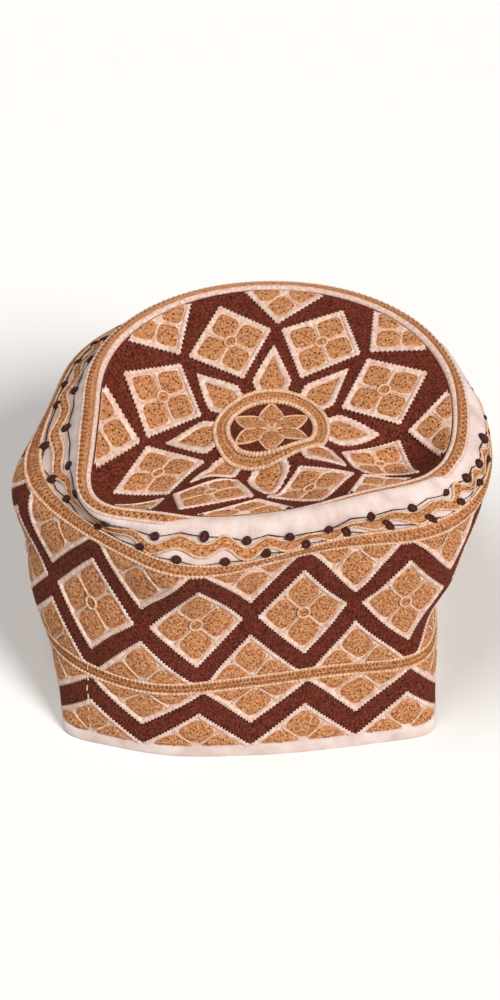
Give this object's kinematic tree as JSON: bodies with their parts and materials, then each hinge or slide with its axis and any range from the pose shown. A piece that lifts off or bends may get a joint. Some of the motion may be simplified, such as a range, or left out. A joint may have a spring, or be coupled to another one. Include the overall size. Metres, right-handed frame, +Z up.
{
  "type": "embroidered cap",
  "caption": "Soft round brimless cap of embroidered cotton with tall sides, a rolled plain shoulder and a slack flat crown, resting on its open hem.",
  "frame": {"origin": "middle of the cap's bounding box, on the flat plane that the hem rests on", "axes": "+Z up from the open hem to the crown, -Y towards the front of the cap, +X to the right as the front is looked at"},
  "size_m": [0.1907, 0.195, 0.1079],
  "materials": {
    "turned_hem_cotton": "plain white cotton folded twice and pressed flat",
    "embroidered_cotton": "white cotton covered with brown and tan thread in raised diamonds",
    "bleached_cotton": "plain white cotton with a scalloped thread braid along it",
    "chain_stitch_cotton": "tan chain stitch between two cream edges, stuffed round",
    "embroidered_crown_cotton": "white cotton covered with brown and tan thread in a star of diamonds"
  },
  "bodies": {
    "root": {"hem_band": "turned_hem_cotton", "side_band": "embroidered_cotton", "gusset": "bleached_cotton", "rim_band": "chain_stitch_cotton", "crown_panel": "embroidered_crown_cotton"}
  },
  "joints": []
}
